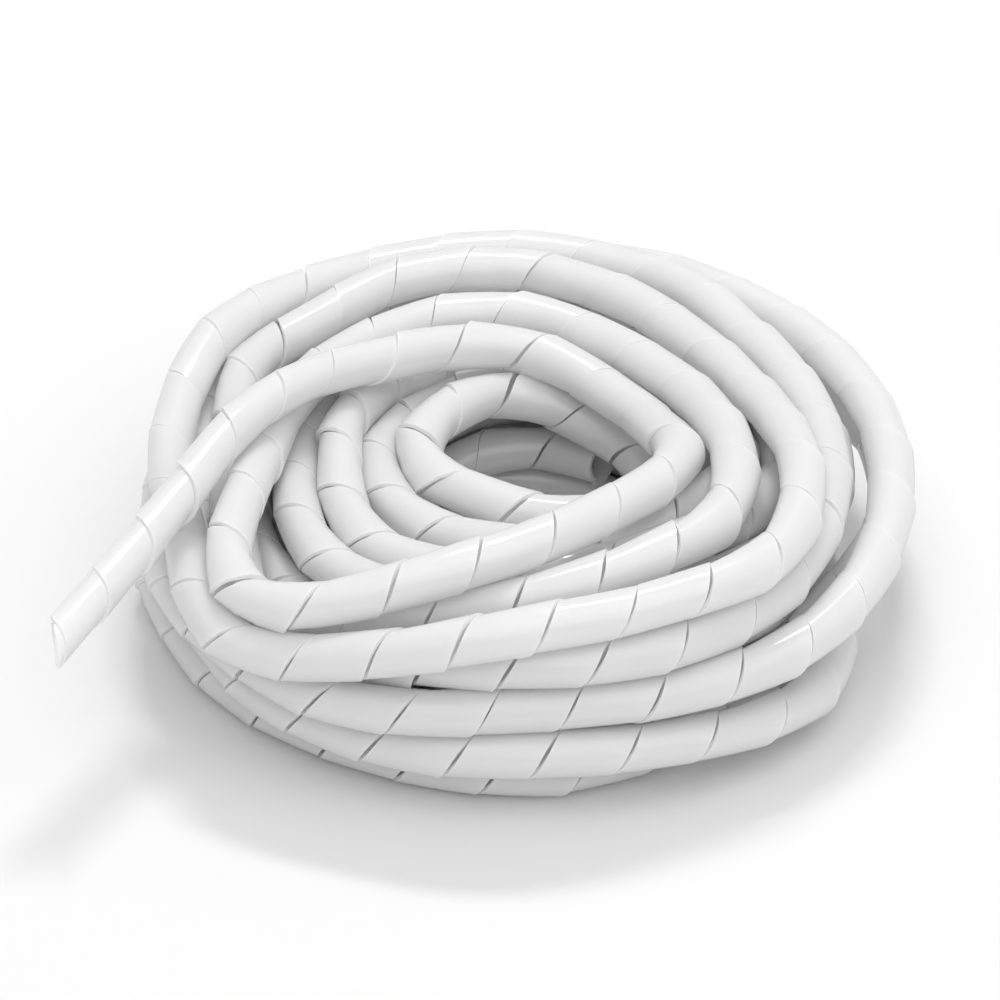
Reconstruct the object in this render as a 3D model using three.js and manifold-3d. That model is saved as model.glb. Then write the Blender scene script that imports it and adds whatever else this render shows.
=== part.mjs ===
// A length of spiral cable wrap: one strip of natural polyethylene, wound as a left-handed helix into a
// tube that opens along its slit, and stored as a loose coil that lies flat. Millimetres, +Z up.
//
// The wound turns are one turned ring. Its section shows every strand of the outer layers as a round
// bead, so the turns show as grooves on both faces, on the rim and in the bore. The last turn lies across
// the top of the ring and ends in a free tail, which has the wrap's true section: wall, bore and slit.

import * as THREE from "three";
import { mergeVertices } from "three/addons/utils/BufferGeometryUtils.js";
import Module from "manifold-3d";

// The wrap itself.
const tubeDiameter = 10;
const wallThickness = 1;
const slitPitch = 17.5; // one turn of the slit, along the tube
const slitWidth = 1.2; // along the tube

// How it is wound. A strand is one pass of the tube through the coil's section.
const boreDiameter = 38; // between the innermost strands of the lowest layer
const strandsAcross = 6;
const strandsHigh = 4;
const gapAcross = 0.2; // between neighbouring strands of a layer
const gapUp = 0.35; // between layers
const flarePerLayer = 2; // each layer lies this much further out than the one below

// The free tail.
const tailLength = 59; // from where it leaves the last turn
const tailDroop = 6; // how far its tip hangs below the strands that it lies on
const plugLength = 4; // how far the solid strand reaches into the tail's bore

// The last turn, as a hand-laid route over the ring: the angle round the coil in degrees, the place across
// the top layer from its innermost strand (0) to its outermost (1), and the height in strands above it.
const lastTurn = [
  [-130, 1.0, 0.4],
  [-113, 0.71, 0.85],
  [-82, 0.26, 0.8],
  [-42, 0.12, 0.45],
  [-5, 0.02, 0.2],
  [42, -0.02, 0.25],
  [75, 0.0, 0.5],
  [110, 0.07, 0.8],
  [146, 0.2, 0.95],
  [170, 0.35, 0.95],
  [187, 0.57, 0.95],
  [198, 0.81, 0.95],
];

// How finely round things are cut into flats.
const ringSteps = 48;
const strandSides = 8;
const stepsPerSlitTurn = 16;
const lastTurnSteps = 54;
const tailSteps = 10;

const strandRadius = tubeDiameter / 2;
const acrossPitch = tubeDiameter + gapAcross;
const layerPitch = tubeDiameter + gapUp;
const topLayer = strandsHigh - 1;

const wasm = await Module();
wasm.setup();

// The centre of a strand in the coil's section: its radius from the coil's axis, and its height.
function strandCentre(column, layer) {
  const innermost = boreDiameter / 2 + strandRadius + layer * flarePerLayer;
  return new THREE.Vector2(innermost + column * acrossPitch, strandRadius + layer * layerPitch);
}

// A corner of a strand's section, whose flats lie on the tube's surface. Degrees.
function strandCorner(centre, angle) {
  const reach = strandRadius / Math.cos(Math.PI / strandSides);
  const turn = THREE.MathUtils.degToRad(angle);
  return new THREE.Vector2(centre.x + reach * Math.cos(turn), centre.y + reach * Math.sin(turn));
}

// The ring's section, anticlockwise from the underside: a bead for each strand that shows on that side.
// A corner strand shows on two sides, and the second side only adds the flats that the first left out.
function ringSection() {
  const columns = Array.from({ length: strandsAcross }, (_, column) => column);
  const layers = Array.from({ length: strandsHigh }, (_, layer) => layer);
  const sides = [
    { facing: -90, strands: columns.map((column) => strandCentre(column, 0)) },
    { facing: 0, strands: layers.map((layer) => strandCentre(strandsAcross - 1, layer)) },
    { facing: 90, strands: columns.map((column) => strandCentre(column, topLayer)).reverse() },
    { facing: 180, strands: layers.map((layer) => strandCentre(0, layer)).reverse() },
  ];
  const flat = 360 / strandSides;
  const points = [];
  for (const { facing, strands } of sides) {
    strands.forEach((centre, index) => {
      const offsets = index === 0 ? [0.5, 1.5] : [-1.5, -0.5, 0.5, 1.5];
      for (const offset of offsets) {
        points.push(strandCorner(centre, facing + offset * flat));
      }
    });
  }
  points.push(points[0].clone());
  return points;
}

// The turned ring of wound turns, standing on z = 0 about the coil's axis.
function woundTurns() {
  return new THREE.LatheGeometry(ringSection(), ringSteps).rotateX(Math.PI / 2);
}

// The last turn's hand-laid points in space.
function lastTurnPoints() {
  const inner = strandCentre(0, topLayer);
  const outer = strandCentre(strandsAcross - 1, topLayer);
  return lastTurn.map(([degrees, across, lift]) => {
    const angle = THREE.MathUtils.degToRad(degrees);
    const radius = THREE.MathUtils.lerp(inner.x, outer.x, across);
    const height = inner.y + lift * tubeDiameter;
    return new THREE.Vector3(radius * Math.cos(angle), radius * Math.sin(angle), height);
  });
}

// The tail's middle line: it leaves the last turn level and straight on, and droops to its tip.
function tailLine(turnPoints) {
  const [before, start] = turnPoints.slice(-2);
  const ahead = start.clone().sub(before).setZ(0).normalize();
  const middle = start.clone().addScaledVector(ahead, tailLength / 2);
  const tip = start.clone().addScaledVector(ahead, tailLength);
  tip.z -= tailDroop;
  return new THREE.QuadraticBezierCurve3(start, middle, tip);
}

// A polygon whose flats touch a circle of the given radius.
function roundSection(radius, sides) {
  const reach = radius / Math.cos(Math.PI / sides);
  const corners = Array.from({ length: sides }, (_, index) => {
    const angle = ((index + 0.5) * 2 * Math.PI) / sides;
    return new THREE.Vector2(reach * Math.cos(angle), reach * Math.sin(angle));
  });
  return new THREE.Shape(corners);
}

// A solid strand along a line.
function strandAlong(line, radius, sides, steps) {
  return new THREE.ExtrudeGeometry(roundSection(radius, sides), {
    extrudePath: line,
    steps,
    bevelEnabled: false,
  });
}

// The last turn as a solid strand, from where it rises out of the ring to just inside the tail.
function lastTurnStrand(turnPoints, tail) {
  const plugEnd = tail.getPointAt(plugLength / tail.getLength());
  const line = new THREE.CatmullRomCurve3([...turnPoints, plugEnd], false, "centripetal");
  return strandAlong(line, strandRadius, strandSides, lastTurnSteps);
}

// A point of the tail, from its distance along the tail, the angle round it and the distance from its
// middle line. Past either end the line runs straight on.
function pointOnTail(tail, along, angle, out) {
  const length = tail.getLength();
  const share = THREE.MathUtils.clamp(along / length, 0, 1);
  const tangent = tail.getTangentAt(share);
  const centre = tail.getPointAt(share).addScaledVector(tangent, along - share * length);
  const side = new THREE.Vector3().crossVectors(tangent, new THREE.Vector3(0, 0, 1)).normalize();
  const top = new THREE.Vector3().crossVectors(side, tangent);
  return centre.addScaledVector(side, out * Math.cos(angle)).addScaledVector(top, out * Math.sin(angle));
}

// The strip that the wrap is made of: a flat bar, bent round the tail's middle line as a left-handed
// helix. It runs past both ends of the tail, to be cut off square.
function tailStrip(tail) {
  const turns = tail.getLength() / slitPitch + 2;
  const steps = Math.round(turns * stepsPerSlitTurn);
  const bar = new THREE.BoxGeometry(1, 1, 1, 1, 1, steps);
  const position = bar.attributes.position;
  for (let index = 0; index < position.count; index += 1) {
    const wound = (position.getZ(index) + 0.5) * turns;
    const along = (wound - 1) * slitPitch - position.getX(index) * (slitPitch - slitWidth);
    const out = strandRadius - (0.5 - position.getY(index)) * wallThickness;
    const place = pointOnTail(tail, along, 2 * Math.PI * wound, out);
    position.setXYZ(index, place.x, place.y, place.z);
  }
  return bar;
}

// A closed three.js geometry as a solid that can be joined and cut.
function solidFrom(geometry) {
  const bare = geometry.index ? geometry.toNonIndexed() : geometry.clone();
  bare.deleteAttribute("normal");
  bare.deleteAttribute("uv");
  const merged = mergeVertices(bare, 1e-4);
  const mesh = new wasm.Mesh({
    numProp: 3,
    vertProperties: merged.attributes.position.array,
    triVerts: new Uint32Array(merged.index.array),
  });
  return new wasm.Manifold(mesh);
}

// A joined solid as a three.js geometry.
function geometryFrom(solid) {
  const { vertProperties, triVerts } = solid.getMesh();
  const geometry = new THREE.BufferGeometry();
  geometry.setAttribute("position", new THREE.BufferAttribute(vertProperties, 3));
  geometry.setIndex(new THREE.BufferAttribute(triVerts, 1));
  geometry.computeVertexNormals();
  return geometry;
}

// The whole wrap is one moulding, so its ring, last turn and tail are joined into one solid.
function spiralWrap() {
  const turnPoints = lastTurnPoints();
  const tail = tailLine(turnPoints);
  const squareCut = strandAlong(tail, tubeDiameter, strandSides, tailSteps);
  const tailSolid = solidFrom(tailStrip(tail)).intersect(solidFrom(squareCut));
  const joined = solidFrom(woundTurns()).add(solidFrom(lastTurnStrand(turnPoints, tail))).add(tailSolid);
  return geometryFrom(joined);
}

// Natural polyethylene: milky white, slightly see-through, with a soft waxy gloss.
const naturalPolyethylene = new THREE.MeshStandardMaterial({
  color: new THREE.Color(0.87, 0.87, 0.86),
  roughness: 0.35,
  metalness: 0,
});

const wrap = new THREE.Mesh(spiralWrap(), naturalPolyethylene);
wrap.name = "spiral_wrap";

// The origin is on the floor, under the middle of the wrap's box.
const box = new THREE.Box3().setFromObject(wrap);
const middle = box.getCenter(new THREE.Vector3());
wrap.position.set(-middle.x, -middle.y, -box.min.z);

const part = new THREE.Group();
part.add(wrap);

export default part;
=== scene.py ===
"""A loose coil of natural polyethylene spiral wrap, lying flat, with one free tail.

The wrap is one strip, wound as a left-handed helix into a tube that opens along its slit. Metres, +Z up.
"""

import math

import bmesh
import bpy
import numpy as np
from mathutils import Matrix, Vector


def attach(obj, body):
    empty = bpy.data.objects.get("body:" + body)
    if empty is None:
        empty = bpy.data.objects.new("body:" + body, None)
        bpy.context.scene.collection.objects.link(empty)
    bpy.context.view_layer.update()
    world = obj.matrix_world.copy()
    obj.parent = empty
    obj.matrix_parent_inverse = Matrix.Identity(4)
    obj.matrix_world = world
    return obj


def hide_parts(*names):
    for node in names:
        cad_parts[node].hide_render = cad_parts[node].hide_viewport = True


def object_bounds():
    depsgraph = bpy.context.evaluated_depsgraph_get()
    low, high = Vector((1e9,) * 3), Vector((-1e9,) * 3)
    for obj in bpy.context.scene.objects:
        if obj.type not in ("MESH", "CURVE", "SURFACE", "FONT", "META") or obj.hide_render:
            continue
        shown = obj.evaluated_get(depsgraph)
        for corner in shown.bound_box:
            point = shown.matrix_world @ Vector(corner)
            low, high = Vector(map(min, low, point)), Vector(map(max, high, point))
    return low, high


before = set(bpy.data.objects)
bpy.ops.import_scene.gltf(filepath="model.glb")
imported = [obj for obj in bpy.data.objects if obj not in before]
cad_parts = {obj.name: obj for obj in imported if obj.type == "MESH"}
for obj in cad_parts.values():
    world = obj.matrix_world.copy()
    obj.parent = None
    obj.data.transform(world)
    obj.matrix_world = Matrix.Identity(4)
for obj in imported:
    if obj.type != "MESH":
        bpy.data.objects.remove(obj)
cad_low, cad_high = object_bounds()
MM = 0.001

# The view. The camera looks down on the coil from the front, from a little over a metre away and through a
# long lens, so the coil hardly narrows towards its back.
RIM_RADIUS = 86 * MM
COIL_AXIS = Vector((cad_high.x - RIM_RADIUS, 0, 0))
VIEW_ELEVATION = math.radians(35)
VIEW_DISTANCE = 1.1
VIEW_LENS = 178.2
VIEW_AIM = COIL_AXIS + Vector((-7.3, 11.2, 16.0)) * MM

view_back = Vector((0, -math.cos(VIEW_ELEVATION), math.sin(VIEW_ELEVATION)))
camera = bpy.data.objects.new("camera", bpy.data.cameras.new("camera"))
camera.data.lens = VIEW_LENS
camera.location = VIEW_AIM + view_back * VIEW_DISTANCE
camera.rotation_euler = view_back.to_track_quat("Z", "Y").to_euler()
bpy.context.scene.collection.objects.link(camera)
bpy.context.scene.camera = camera

# How the wrap lies. Wound anticlockwise from an open inner end, each turn is a row of radius and height, in
# mm, at 8 or 16 even places from the left; the last is cut short. The rows were first laid by hand, and a
# fitting program then moved those of the turns that show to strands drawn over the photo.
TUBE_DIAMETER = 10.0

inner_end = [(29.5, 17), (33, 15.5), (38, 12)]
lowest_layer = [
    [(39, 9), (40, 7), (39, 5), (34, 5), (28, 5), (32, 5), (32.5, 5), (37, 5)],
    [(49, 5), (53, 5), (50, 5), (43, 5), (38, 5), (46, 5), (52, 5), (56, 5)],
    [(61, 5), (64, 5), (62, 5), (53, 5), (48, 5), (57, 5), (64, 5), (67, 5)],
    [(72, 5), (73.5, 5.5), (72, 6), (63, 5), (58, 5), (70, 5), (77, 5), (80, 7)],
]
middle_layers = [
    [(69, 13.5), (75.5, 15), (73.5, 16.5), (77.5, 13), (56, 13), (71, 14), (78, 15), (79, 16)],
    [(70, 14), (71, 14), (68, 14), (60, 16), (78, 24), (80, 25), (79, 25), (73, 24)],
    [(66, 24), (67, 24), (62, 24), (58, 19), (49, 14), (60, 14), (66, 14), (65, 14)],
    [(61, 14), (62, 14), (58, 14), (56, 14), (39, 15), (50, 14), (57, 14), (56, 14)],
    [(51, 14), (52, 14), (49, 14), (49, 19), (57, 24), (60, 23), (60, 22), (58, 23)],
    [(54, 24), (54, 24), (50, 24), (49, 24), (48, 24), (51, 22), (53, 21), (51, 19)],
    [(47, 14), (47, 14), (44, 14), (42, 14), (33, 15), (42, 13), (49, 13), (48, 17)],
    [(43, 23), (43, 24), (39, 24), (38, 24), (38, 24), (42, 22), (46, 21), (42, 21)],
    [(33, 25), (31, 25), (29, 25), (29, 24), (29, 25), (32, 26), (37, 31.5), (29.5, 35)],
]
inner_loops = [
    [(30, 35.5), (21, 36.5), (22, 36.5), (28, 35), (36, 33), (38, 32), (39, 31), (36, 31.5)],
    [(34.5, 36), (33.5, 36), (34, 36), (38, 35), (45, 33), (46, 32), (46, 31), (37.5, 32)],
    [(40.5, 36), (47.5, 36), (44, 36), (47, 35), (55, 34), (55, 32), (56, 31), (56, 33)],
    [(48.5, 35.5), (58, 36), (54, 36), (56, 35), (64, 34), (65, 33), (67, 31), (73, 28)],
]
last_turns = [
    [(77, 25), (80, 23), (74.5, 27), (79.5, 28.5), (78, 34), (79, 36), (82, 31), (76, 27)],
    [(70, 29), (70.5, 28), (72, 28), (77, 30), (75.5, 35), (74, 36), (70, 36.5), (63, 36.5),
     (60.5, 36.5), (60, 36), (64, 36.5), (73, 37.5), (79.5, 38), (80, 38), (80, 38), (76.5, 38)],
    [(77, 37), (77.5, 33), (86.5, 30.5), (80, 37), (75, 43.5), (71.5, 45), (71, 44.5), (64, 44.5),
     (54.5, 43.5), (50.5, 40.5), (52, 38.5), (58, 38), (67, 39), (70.5, 40), (69.5, 39), (74.5, 36.5)],
    [(66, 31), (72.5, 29), (78, 30), (65.5, 39.5), (61, 44.5), (56.5, 46), (53.5, 45), (46, 44.5),
     (39.5, 43.5), (37, 40.5), (37, 37.5), (41, 37.5), (47.5, 38.5), (51.5, 39.5), (52, 39.5), (53.5, 40)],
    [(59.5, 40.5), (69.5, 39.5), (83, 39.5), (68.5, 45.5), (52.5, 49.5), (42, 50), (37, 48), (33.5, 46),
     (27.5, 43), (25.5, 41), (25.5, 40), (28, 40.5), (32, 42), (34.5, 44), (37, 46)],
]
tail = [
    (-47, 11.2, 48), (-58.1, -4.6, 49), (-67, -19.1, 48.5),
    (-79.9, -41.3, 46), (-90, -58.5, 43.5), (-98.5, -75, 42),
]
INNER_END_ANGLES = [60, 90, 135]
FIRST_TURN_ANGLE = 180

# How the laid turns are pressed apart. Lengths are in millimetres, and the shares are those of each step.
LAY_SPACING = 4.0
CLEARANCE = 0.25
LOWEST = TUBE_DIAMETER / 2 + 0.5
SETTLE_STEPS = 320
STEPS_BETWEEN_SEARCHES = 8
STEPS_BETWEEN_SMOOTHINGS = 2
PASSES_OF_SMOOTHING = 2
SEARCH_REACH = 1.45
NEIGHBOUR_REACH = 2.2
FIRST_THICKNESS = 0.35
THICKNESS_GAIN = 0.9
PUSH_GAIN = 1.3
PULL_LAST = 0.004
PULL_EARLY = 0.06
WEIGHT_DROP = 0.02


def curve_through(keys, values, places):
    """A smooth curve through values at keys, read at places."""
    steps = np.diff(keys)[:, None]
    rises = np.diff(values, axis=0) / steps
    slopes = np.empty_like(values)
    slopes[1:-1] = (rises[:-1] * steps[1:] + rises[1:] * steps[:-1]) / (steps[1:] + steps[:-1])
    slopes[0], slopes[-1] = rises[0], rises[-1]
    index = np.clip(np.searchsorted(keys, places, side="right") - 1, 0, len(keys) - 2)
    step = steps[index]
    share = (places - keys[index])[:, None] / step
    ease = share * share * (3 - 2 * share)
    leave = share * (1 - share) ** 2 * step * slopes[index]
    arrive = share**2 * (share - 1) * step * slopes[index + 1]
    return values[index] * (1 - ease) + values[index + 1] * ease + leave + arrive


def lengths_along(line):
    """The distance of each point of a line from its start."""
    return np.concatenate([[0], np.cumsum(np.linalg.norm(np.diff(line, axis=0), axis=1))])


def laid_route():
    """The route as evenly spaced points, in millimetres from the coil's axis on the floor."""
    turns = lowest_layer + middle_layers + inner_loops + last_turns
    angles = list(INNER_END_ANGLES)
    laid = list(inner_end)
    for number, turn in enumerate(turns):
        apart = 360 / (8 if len(turn) == 8 else 16)
        angles += [FIRST_TURN_ANGLE + 360 * number + apart * place for place in range(len(turn))]
        laid += turn
    degrees = np.arange(angles[0], angles[-1], 1.0)
    radius, height = curve_through(np.array(angles, float), np.array(laid, float), degrees).T
    turned = np.radians(degrees)
    coil = np.stack([radius * np.cos(turned), radius * np.sin(turned), height], axis=1)
    line = np.concatenate([coil, tail])
    along = lengths_along(line)
    count = round(along[-1] / LAY_SPACING) + 1
    return curve_through(along, line, np.linspace(0, along[-1], count))


def smoothed(field, passes):
    """A row of vectors along the wrap, evened out between neighbours."""
    for _ in range(passes):
        inner = 0.25 * field[:-2] + 0.5 * field[1:-1] + 0.25 * field[2:]
        first = 0.5 * (field[:1] + field[1:2])
        last = 0.5 * (field[-1:] + field[-2:-1])
        field = np.concatenate([first, inner, last])
    return field


def close_pairs(points, reach, skip):
    """The pairs of points that are nearer than reach, other than neighbours along the wrap."""
    squares = (points**2).sum(axis=1)
    gaps = squares[:, None] + squares[None] - 2 * points @ points.T
    first, second = np.nonzero(np.triu(gaps < reach * reach, skip + 1))
    return first, second


def settled(laid):
    """The route with its turns pressed clear of each other and of the floor, as the real turns push apart.
    The wrap starts thin and grows to its full diameter, so that what lies on top stays on top."""
    full = TUBE_DIAMETER + CLEARANCE
    skip = round(NEIGHBOUR_REACH * full / LAY_SPACING)
    count = len(laid)
    line = laid.copy()
    for step in range(SETTLE_STEPS):
        share = step / SETTLE_STEPS
        thickness = full * min(1.0, FIRST_THICKNESS + THICKNESS_GAIN * share)
        if step % STEPS_BETWEEN_SEARCHES == 0:
            first, second = close_pairs(line, SEARCH_REACH * full, skip)
        apart = line[second] - line[first]
        distance = np.linalg.norm(apart, axis=1)
        touching = distance < thickness
        one, other = first[touching], second[touching]
        overlap = (thickness - distance[touching]) / np.maximum(distance[touching], 1e-6)
        push = 0.5 * apart[touching] * overlap[:, None]
        contacts = np.bincount(one, minlength=count) + np.bincount(other, minlength=count)
        shift = np.zeros_like(line)
        for axis in range(3):
            shift[:, axis] += np.bincount(other, push[:, axis], count)
            shift[:, axis] -= np.bincount(one, push[:, axis], count)
        shift *= (PUSH_GAIN / np.sqrt(np.maximum(contacts, 1)))[:, None]
        line += smoothed(shift, PASSES_OF_SMOOTHING)
        line += (PULL_EARLY * (1 - share) + PULL_LAST) * (laid - line)
        line[:, 2] -= WEIGHT_DROP
        if step % STEPS_BETWEEN_SMOOTHINGS == 0:
            line = laid + smoothed(line - laid, PASSES_OF_SMOOTHING)
        line[:, 2] = np.maximum(line[:, 2], LOWEST)
    return line


wrap_line = settled(laid_route()) * MM + np.array(COIL_AXIS)

# The strip. It is cut as a helix out of a tube, so between two passes of the slit the wrap is stiffer and only
# half follows the bend, and the slit opens on the outside of it. The inner end is cut square, and the tail's
# end is snipped off at a slant. The tail is stretched a little, which makes it slimmer.
WALL = 1.0 * MM
SLIT_PITCH = 17.3 * MM
CLOSED_SLIT = 0.06 * MM
SLIT_OPENS_FROM = 0.975 * SLIT_PITCH
SLIT_SPREAD = 0.65
WIDEST_SLIT = 0.9 * MM
NARROWEST_STRIP = 0.3 * MM
STEPS_PER_PASS = 24
STEPS_ACROSS = 3
BEND_SHARE = 0.5
EDGE_LIFT = 0.015
UNEVENNESS = 0.12 * MM
UNEVEN_LIFT = 0.02
UNEVEN_SEED = 5
TAIL_LENGTH = 150 * MM
TAIL_SLIMNESS = 0.14
TAIL_CUT = (-0.969, -0.2, -0.02)
TAIL_PHASE = 0.82
SHARP_ANGLE = math.radians(40)
DIRECTION_STEP = 1.0 * MM

tube_radius = TUBE_DIAMETER / 2 * MM


def tube_at(line, places, turned):
    """Centre, direction and outward side of the tube at places along the line, and straight on past its ends.
    The outward side turns round the tube, from the flank that faces away from the coil's axis."""
    along = lengths_along(line)
    inside = np.clip(places, 0, along[-1])
    centre = curve_through(along, line, inside)
    ahead = curve_through(along, line, np.minimum(inside + DIRECTION_STEP, along[-1]))
    behind = curve_through(along, line, np.maximum(inside - DIRECTION_STEP, 0))
    direction = ahead - behind
    direction /= np.linalg.norm(direction, axis=1)[:, None]
    centre = centre + direction * (places - inside)[:, None]
    side = np.cross(direction, (0, 0, 1))
    side /= np.linalg.norm(side, axis=1)[:, None]
    top = np.cross(side, direction)
    return centre, direction, side * np.cos(turned)[:, None] + top * np.sin(turned)[:, None]


def reach_to_cut(middle, slope, point, normal):
    """How far the plane of a cut lies along each straight line across the strip."""
    return ((point - middle) @ normal) / (slope @ normal)


def strip_rows(line):
    """Rows of points across the strip from edge to edge, one row for each step round the tube. Each pass is
    swollen and tilted a little by chance, and a row that the cut leaves nothing of is dropped."""
    length = lengths_along(line)[-1]
    places = np.arange(-0.5 * SLIT_PITCH, length + SLIT_PITCH, SLIT_PITCH / STEPS_PER_PASS)
    turned = 2 * math.pi * ((places - length) / SLIT_PITCH + TAIL_PHASE)
    centre, direction, outward = tube_at(line, places, turned)
    to_tail = np.clip((places - length + TAIL_LENGTH) / TAIL_LENGTH, 0, 1)
    passes = np.arange(len(places) // STEPS_PER_PASS + 2) * SLIT_PITCH + places[0]
    swell, tilt = np.random.default_rng(UNEVEN_SEED).normal(size=(2, len(passes)))
    radius = tube_radius * (1 - TAIL_SLIMNESS * to_tail) + UNEVENNESS * np.interp(places, passes, swell)
    lift = EDGE_LIFT + UNEVEN_LIFT * np.interp(places, passes, tilt)
    middle = centre + outward * radius[:, None]
    slope = direction + outward * lift[:, None]

    to_next = np.linalg.norm(middle[STEPS_PER_PASS:] - middle[:-STEPS_PER_PASS], axis=1)
    slit = CLOSED_SLIT + SLIT_SPREAD * np.maximum(to_next - SLIT_OPENS_FROM, 0)
    slit = np.minimum(slit, WIDEST_SLIT)
    pad = np.full(STEPS_PER_PASS, SLIT_PITCH / 2)
    start = -np.concatenate([pad, (to_next - slit) / 2])
    end = np.concatenate([(to_next - slit) / 2, pad])
    near_start = places < SLIT_PITCH
    near_end = places > length - 2 * SLIT_PITCH
    square_cut = reach_to_cut(middle, slope, line[0], direction[0])
    slant_cut = reach_to_cut(middle, slope, line[-1], np.array(TAIL_CUT))
    start[near_start] = np.maximum(start, square_cut)[near_start]
    end[near_end] = np.minimum(end, slant_cut)[near_end]
    kept = end > start + NARROWEST_STRIP

    stretch = np.concatenate([to_next, to_next[-STEPS_PER_PASS:]]) / SLIT_PITCH
    rows = np.empty((len(places), STEPS_ACROSS + 1, 3))
    for step in range(STEPS_ACROSS + 1):
        reach = start + (end - start) * step / STEPS_ACROSS
        straight = middle + slope * reach[:, None]
        bent_centre, _, bent_outward = tube_at(line, places + reach / stretch, turned)
        bent = bent_centre + bent_outward * (radius + lift * reach)[:, None]
        rows[:, step] = straight + BEND_SHARE * (bent - straight)
    return rows[kept]


rows = strip_rows(wrap_line)
strip = bmesh.new()
strip.loops.layers.uv.verify()
bmesh.ops.create_grid(strip, x_segments=len(rows) - 1, y_segments=STEPS_ACROSS, size=0.5, calc_uvs=True)
for vertex in strip.verts:
    row = round((vertex.co.x + 0.5) * (len(rows) - 1))
    step = round((vertex.co.y + 0.5) * STEPS_ACROSS)
    vertex.co = rows[row, step]
bmesh.ops.reverse_faces(strip, faces=strip.faces)
strip.normal_update()
bmesh.ops.solidify(strip, geom=list(strip.faces), thickness=WALL)
wrap_mesh = bpy.data.meshes.new("spiral_wrap_strip")
strip.to_mesh(wrap_mesh)
strip.free()
wrap_mesh.polygons.foreach_set("use_smooth", [True] * len(wrap_mesh.polygons))
wrap_mesh.set_sharp_from_angle(angle=SHARP_ANGLE)
wrap = bpy.data.objects.new("spiral_wrap_strip", wrap_mesh)
bpy.context.scene.collection.objects.link(wrap)

# Natural polyethylene is milky and lets most of the light through. It is slightly cloudy inside and has a waxy
# gloss that is a little uneven. A paler colour is painted along the strip's cut edges as a highlight, where
# the edges catch the light.
MILKY = (0.95, 0.95, 0.95, 1)
MILKY_DENSE = (0.92, 0.92, 0.92, 1)
PAINTED_EDGE_HIGHLIGHT = (1.0, 1.0, 1.0, 1)
LIGHT_THROUGH = (0.99, 0.99, 0.99, 1)
SHARE_THROUGH = 0.45
PLASTIC_IOR = 1.5
PLASTIC_SPECULAR = 1.0
WAX_ROUGHNESS = 0.16
ROUGHNESS_RANGE = 0.1
CLOUD_SCALE = 140.0
EDGE_HIGHLIGHT_SHARPNESS = 12


class Socket:
    """An output socket of a shader tree that takes part in sums."""

    def __init__(self, tree, socket):
        self.tree = tree
        self.socket = socket

    def node(self, kind, settings=None, output=0, **inputs):
        """An output of a new node, whose settings are set first and then the values or links of its sockets.
        A socket goes by its name, with _ for a space, or by its number, as in i0."""
        made = self.tree.nodes.new(kind)
        for name, value in (settings or {}).items():
            setattr(made, name, value)
        for name, value in inputs.items():
            key = int(name[1:]) if name[1:].isdigit() else name.replace("_", " ")
            if isinstance(value, Socket):
                self.tree.links.new(value.socket, made.inputs[key])
            else:
                made.inputs[key].default_value = value
        return Socket(self.tree, made.outputs[output])

    def maths(self, operation, first, second=0.0):
        return self.node("ShaderNodeMath", {"operation": operation}, i0=first, i1=second)

    def __add__(self, other):
        return self.maths("ADD", self, other)

    __radd__ = __add__

    def __sub__(self, other):
        return self.maths("SUBTRACT", self, other)

    def __rsub__(self, other):
        return self.maths("SUBTRACT", other, self)

    def __mul__(self, other):
        return self.maths("MULTIPLY", self, other)

    __rmul__ = __mul__

    def __pow__(self, other):
        return self.maths("POWER", self, other)


polyethylene = bpy.data.materials.new("natural_polyethylene")
polyethylene.use_nodes = True
tree = polyethylene.node_tree
shader = tree.nodes["Principled BSDF"]
shader.inputs["IOR"].default_value = PLASTIC_IOR
shader.inputs["Specular IOR Level"].default_value = PLASTIC_SPECULAR

place = Socket(tree, tree.nodes.new("ShaderNodeTexCoord").outputs["Object"])
strip_map = Socket(tree, tree.nodes.new("ShaderNodeUVMap").outputs["UV"])
cloud = place.node("ShaderNodeTexNoise", Vector=place, Scale=CLOUD_SCALE, Detail=0.0)
milk = place.node("ShaderNodeMix", {"data_type": "RGBA"}, 2, i0=cloud, i6=MILKY_DENSE, i7=MILKY)
across = strip_map.node("ShaderNodeSeparateXYZ", output=1, Vector=strip_map)
# Painted highlight: the colour grows paler towards both edges of the strip, in place of the light that the cut
# edges catch.
painted_edge_highlight_mask = (4 * (across - 0.5) * (across - 0.5)) ** EDGE_HIGHLIGHT_SHARPNESS
colour = place.node("ShaderNodeMix", {"data_type": "RGBA"}, 2, i0=painted_edge_highlight_mask, i6=milk, i7=PAINTED_EDGE_HIGHLIGHT)
roughness = WAX_ROUGHNESS + ROUGHNESS_RANGE * (cloud - 0.5)
for name, value in (("Base Color", colour), ("Roughness", roughness)):
    tree.links.new(value.socket, shader.inputs[name])
face = Socket(tree, shader.outputs["BSDF"])
glow = place.node("ShaderNodeBsdfTranslucent", Color=LIGHT_THROUGH)
whole = place.node("ShaderNodeMixShader", i0=SHARE_THROUGH, i1=face, i2=glow)
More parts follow.
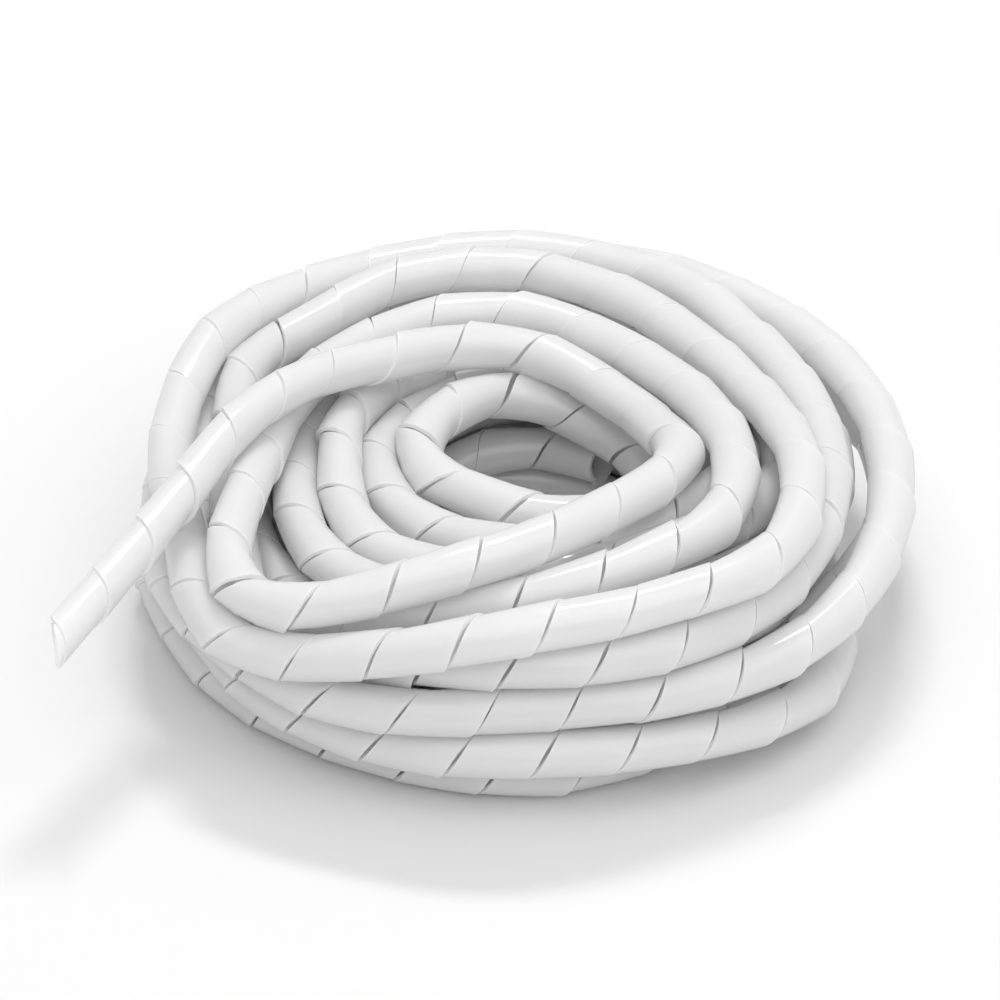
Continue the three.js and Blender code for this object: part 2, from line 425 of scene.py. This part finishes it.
tree.links.new(whole.socket, tree.nodes["Material Output"].inputs["Surface"])
wrap_mesh.materials.append(polyethylene)

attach(wrap, "root")
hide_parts("spiral_wrap")

# The floor and the light. A plain pale floor, an even pale surrounding and three soft lights: a broad one in
# front, a weaker one above, and a narrow one behind that draws the thin streaks on the strands' tops.
FLOOR_SIZE = 6.0
FLOOR_PALE = (0.8, 0.8, 0.8, 1)
FLOOR_ROUGHNESS = 0.9
WORLD_WHITE = (1, 1, 1, 1)
WORLD_STRENGTH = 0.68
floor_mesh = bpy.data.meshes.new("floor")
floor_shape = bmesh.new()
bmesh.ops.create_grid(floor_shape, x_segments=1, y_segments=1, size=FLOOR_SIZE / 2)
floor_shape.to_mesh(floor_mesh)
floor_shape.free()
floor = bpy.data.objects.new("floor", floor_mesh)
bpy.context.scene.collection.objects.link(floor)
floor_paint = bpy.data.materials.new("floor_paint")
floor_paint.use_nodes = True
floor_shader = floor_paint.node_tree.nodes["Principled BSDF"]
floor_shader.inputs["Base Color"].default_value = FLOOR_PALE
floor_shader.inputs["Roughness"].default_value = FLOOR_ROUGHNESS
floor_mesh.materials.append(floor_paint)

world = bpy.data.worlds.new("studio")
world.use_nodes = True
world.node_tree.nodes["Background"].inputs["Color"].default_value = WORLD_WHITE
world.node_tree.nodes["Background"].inputs["Strength"].default_value = WORLD_STRENGTH
bpy.context.scene.world = world
bpy.context.scene.view_settings.view_transform = "Standard"


def softbox(name, place, width, height, power):
    """A flat area light that looks at the coil."""
    light = bpy.data.lights.new(name, "AREA")
    light.shape = "RECTANGLE"
    light.size = width
    light.size_y = height
    light.energy = power
    lamp = bpy.data.objects.new(name, light)
    lamp.location = COIL_AXIS + Vector(place)
    lamp.rotation_euler = Vector(place).to_track_quat("Z", "Y").to_euler()
    bpy.context.scene.collection.objects.link(lamp)


softbox("back_strip", (0.05, 0.55, 1.15), 0.4, 0.12, 5.5)
softbox("front", (0.35, -0.8, 1.25), 1.7, 1.7, 9)
softbox("top", (-0.1, 0.1, 1.5), 1.0, 1.0, 1.5)
